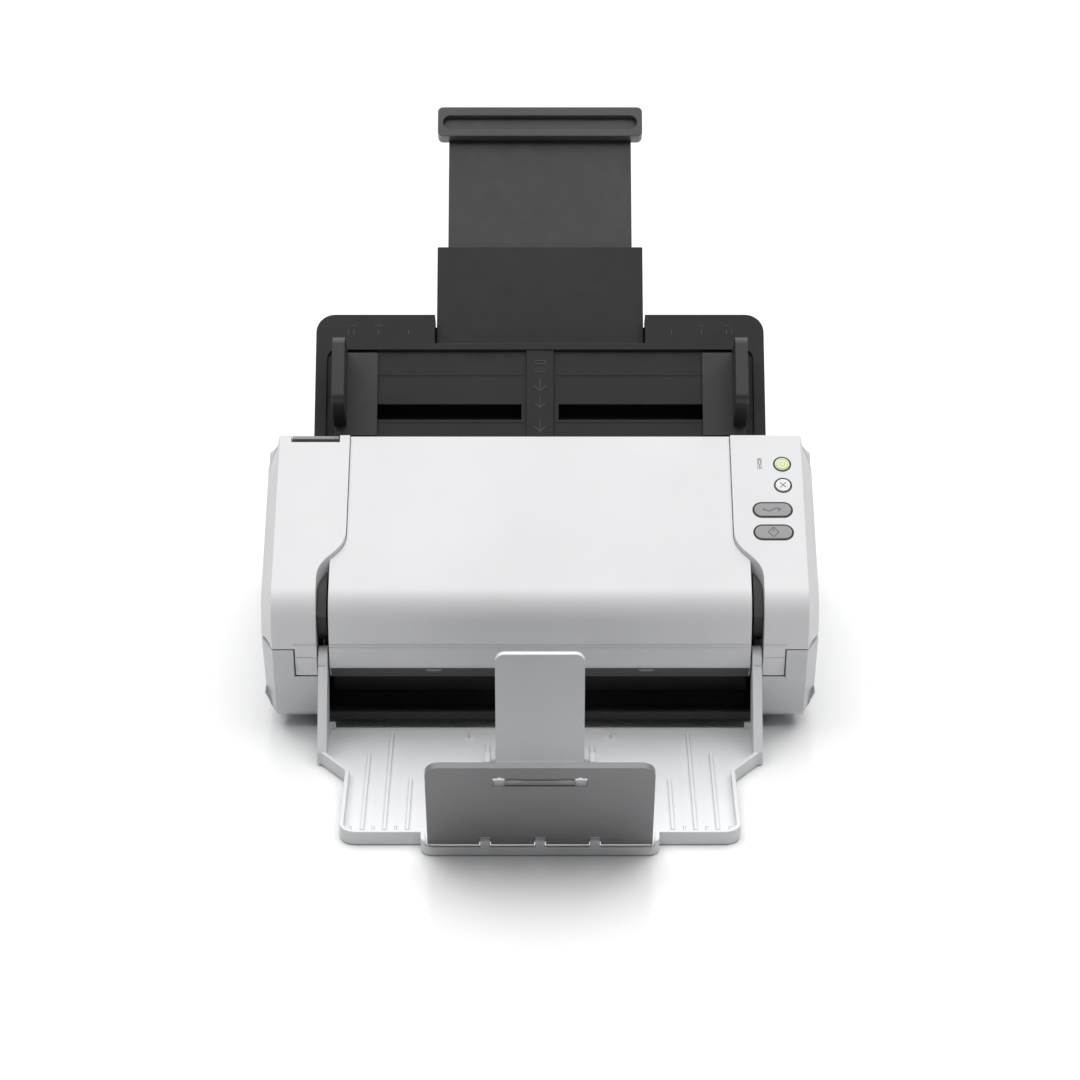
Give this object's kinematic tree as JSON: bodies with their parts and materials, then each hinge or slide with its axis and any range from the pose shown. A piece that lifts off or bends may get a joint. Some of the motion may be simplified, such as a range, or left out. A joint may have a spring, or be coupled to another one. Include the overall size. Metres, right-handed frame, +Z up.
{
  "type": "sheet fed document scanner",
  "caption": "Desktop sheet-fed document scanner with tilting front cover, fold-out eject tray and stoppers, sliding paper guides and a two-stage document tray extension.",
  "frame": {"origin": "on the desk, under the middle of the whole scanner's box", "axes": "X to the right seen from the front, Y to the rear, Z up"},
  "size_m": [0.299, 0.4038, 0.2725],
  "materials": {
    "shell_white": "fine satin texture",
    "shell_grey": "fine satin texture",
    "tray_light": "satin",
    "tray_black": "fine spark-eroded texture",
    "stopper_grey": "satin",
    "frame_black": "satin",
    "grip_grey": "satin",
    "button_grey": "satin",
    "button_white": "satin",
    "button_green": "lit, translucent",
    "lens": "clear window",
    "gear_white": "bare acetal",
    "steel": "ground",
    "screw_steel": "zinc plated",
    "roller_rubber": "ground",
    "foot_rubber": "matte",
    "belt_rubber": "ribbed",
    "scan_glass": "polished",
    "board_green": "solder mask",
    "socket_black": "satin",
    "motor_can": "zinc plated"
  },
  "bodies": {
    "base": {"base_pan": "frame_black", "left_side_cover": "shell_grey", "right_side_cover": "shell_grey", "rear_cover": "shell_grey", "rubber_feet": "foot_rubber", "left_side_frame": "frame_black", "right_side_frame": "frame_black", "shaft_bushes": "gear_white", "hinge_pins": "steel", "lower_path_guide": "frame_black", "exit_wall": "frame_black", "lower_glass": "scan_glass", "lower_sensor": "frame_black", "drive_motor": "motor_can", "drive_belt": "belt_rubber", "main_board": "board_green", "board_screws": "screw_steel", "rear_sockets": "socket_black", "document_tray": "tray_black", "tray_back": "tray_black"},
    "front_cover": {"centre_cover": "shell_white", "left_front_housing": "shell_white", "right_front_housing": "shell_white", "upper_path_guide": "frame_black", "cover_rails": "frame_black", "upper_glass": "scan_glass", "upper_sensor": "frame_black", "idler_axles": "steel", "button_board": "board_green", "warning_light": "lens"},
    "release_latch": {"release_lever": "stopper_grey", "latch_rod": "steel"},
    "power_button": {"power_button": "button_green"},
    "stop_button": {"stop_button": "button_white"},
    "usb_scan_button": {"usb_scan_button": "button_grey"},
    "pc_scan_button": {"pc_scan_button": "button_grey"},
    "eject_idlers": {"eject_idlers": "gear_white"},
    "lower_idlers": {"lower_idlers": "gear_white"},
    "upper_idlers": {"upper_idlers": "gear_white"},
    "separation_roller": {"separation_roller": "roller_rubber"},
    "feed_roller": {"feed_shaft": "steel", "feed_tyres": "roller_rubber"},
    "upper_roller": {"upper_shaft": "steel", "upper_tyres": "roller_rubber"},
    "lower_roller": {"lower_shaft": "steel", "lower_tyres": "roller_rubber"},
    "eject_roller": {"eject_shaft": "steel", "eject_tyres": "roller_rubber"},
    "motor_pulley": {"motor_pulley": "gear_white"},
    "eject_tray": {"eject_tray": "tray_light", "stopper_pins": "steel"},
    "inner_stopper": {"inner_stopper": "tray_light"},
    "front_stopper": {"front_stopper": "stopper_grey"},
    "lower_extension": {"lower_extension": "tray_black"},
    "upper_extension": {"upper_extension": "tray_black", "tray_grip": "grip_grey"},
    "right_guide": {"right_guide": "tray_black"},
    "left_guide": {"left_guide": "tray_black"},
    "guide_pinion": {"guide_pinion": "gear_white"}
  },
  "joints": [
    {"name": "cover_tilt", "type": "hinge", "parent": "base", "child": "front_cover", "pos_m": [0, -0.05449, 0.045], "axis": [1, 0, 0], "range_deg": [0, 45]},
    {"name": "tray_fold", "type": "hinge", "parent": "base", "child": "eject_tray", "pos_m": [0, -0.05449, 0.045], "axis": [-1, 0, 0], "range_deg": [0, 40]},
    {"name": "inner_stopper_fold", "type": "hinge", "parent": "eject_tray", "child": "inner_stopper", "pos_m": [0, -0.09509, 0.0062], "axis": [1, 0, 0], "range_deg": [0, 90]},
    {"name": "front_stopper_fold", "type": "hinge", "parent": "eject_tray", "child": "front_stopper", "pos_m": [0, -0.17699, 0.0085], "axis": [-1, 0, 0], "range_deg": [0, 103]},
    {"name": "lower_extension_slide", "type": "slide", "parent": "base", "child": "lower_extension", "axis": [0, -0.6691, -0.7431], "range_m": [0, 0.0605]},
    {"name": "upper_extension_slide", "type": "slide", "parent": "lower_extension", "child": "upper_extension", "axis": [0, -0.6691, -0.7431], "range_m": [0, 0.066]},
    {"name": "right_guide_slide", "type": "slide", "parent": "base", "child": "right_guide", "axis": [-1, 0, 0], "range_m": [0, 0.075]},
    {"name": "left_guide_slide", "type": "slide", "parent": "base", "child": "left_guide", "axis": [1, 0, 0], "range_m": [0, 0.075]},
    {"name": "guide_pinion_turn", "type": "hinge", "parent": "base", "child": "guide_pinion", "pos_m": [0, 0.07277, 0.13256], "axis": [0, -0.7431, 0.6691], "range_deg": [-725, 5]},
    {"name": "release_lever_pull", "type": "hinge", "parent": "front_cover", "child": "release_latch", "pos_m": [0, 0.03584, 0.12471], "axis": [1, 0, 0], "range_deg": [0, 9], "stiffness_Nm_per_rad": 0.4},
    {"name": "power_press", "type": "slide", "parent": "front_cover", "child": "power_button", "axis": [0, 0.5, -0.866], "range_m": [0, 0.0008], "stiffness_N_per_m": 600},
    {"name": "stop_press", "type": "slide", "parent": "front_cover", "child": "stop_button", "axis": [0, 0.5, -0.866], "range_m": [0, 0.0008], "stiffness_N_per_m": 600},
    {"name": "usb_scan_press", "type": "slide", "parent": "front_cover", "child": "usb_scan_button", "axis": [0, 0.5, -0.866], "range_m": [0, 0.0008], "stiffness_N_per_m": 600},
    {"name": "pc_scan_press", "type": "slide", "parent": "front_cover", "child": "pc_scan_button", "axis": [0, 0.5, -0.866], "range_m": [0, 0.0008], "stiffness_N_per_m": 600},
    {"name": "feed_roller_spin", "type": "hinge", "parent": "base", "child": "feed_roller", "pos_m": [0, 0.0364, 0.09692], "axis": [1, 0, 0], "continuous": true},
    {"name": "upper_roller_spin", "type": "hinge", "parent": "base", "child": "upper_roller", "pos_m": [0, 0.02223, 0.08503], "axis": [1, 0, 0], "continuous": true},
    {"name": "lower_roller_spin", "type": "hinge", "parent": "base", "child": "lower_roller", "pos_m": [0, -0.0088, 0.059], "axis": [1, 0, 0], "continuous": true},
    {"name": "eject_roller_spin", "type": "hinge", "parent": "base", "child": "eject_roller", "pos_m": [0, -0.03484, 0.03714], "axis": [1, 0, 0], "continuous": true},
    {"name": "motor_pulley_spin", "type": "hinge", "parent": "base", "child": "motor_pulley", "pos_m": [0, 0.02514, 0.04655], "axis": [1, 0, 0], "continuous": true},
    {"name": "separation_roller_spin", "type": "hinge", "parent": "front_cover", "child": "separation_roller", "pos_m": [0, 0.02592, 0.10941], "axis": [1, 0, 0], "continuous": true},
    {"name": "upper_idler_spin", "type": "hinge", "parent": "front_cover", "child": "upper_idlers", "pos_m": [0, 0.01368, 0.09522], "axis": [1, 0, 0], "continuous": true},
    {"name": "lower_idler_spin", "type": "hinge", "parent": "front_cover", "child": "lower_idlers", "pos_m": [0, -0.01734, 0.06918], "axis": [1, 0, 0], "continuous": true},
    {"name": "eject_idler_spin", "type": "hinge", "parent": "front_cover", "child": "eject_idlers", "pos_m": [0, -0.04339, 0.04733], "axis": [1, 0, 0], "continuous": true}
  ],
  "couplings": [
    {"joint": "left_guide_slide", "follows": "right_guide_slide", "ratio": 1},
    {"joint": "guide_pinion_turn", "follows": "right_guide_slide", "rad_per_m": -166.67},
    {"joint": "upper_roller_spin", "follows": "feed_roller_spin", "ratio": 1},
    {"joint": "lower_roller_spin", "follows": "feed_roller_spin", "ratio": 1},
    {"joint": "eject_roller_spin", "follows": "feed_roller_spin", "ratio": 1},
    {"joint": "motor_pulley_spin", "follows": "feed_roller_spin", "ratio": 1}
  ]
}
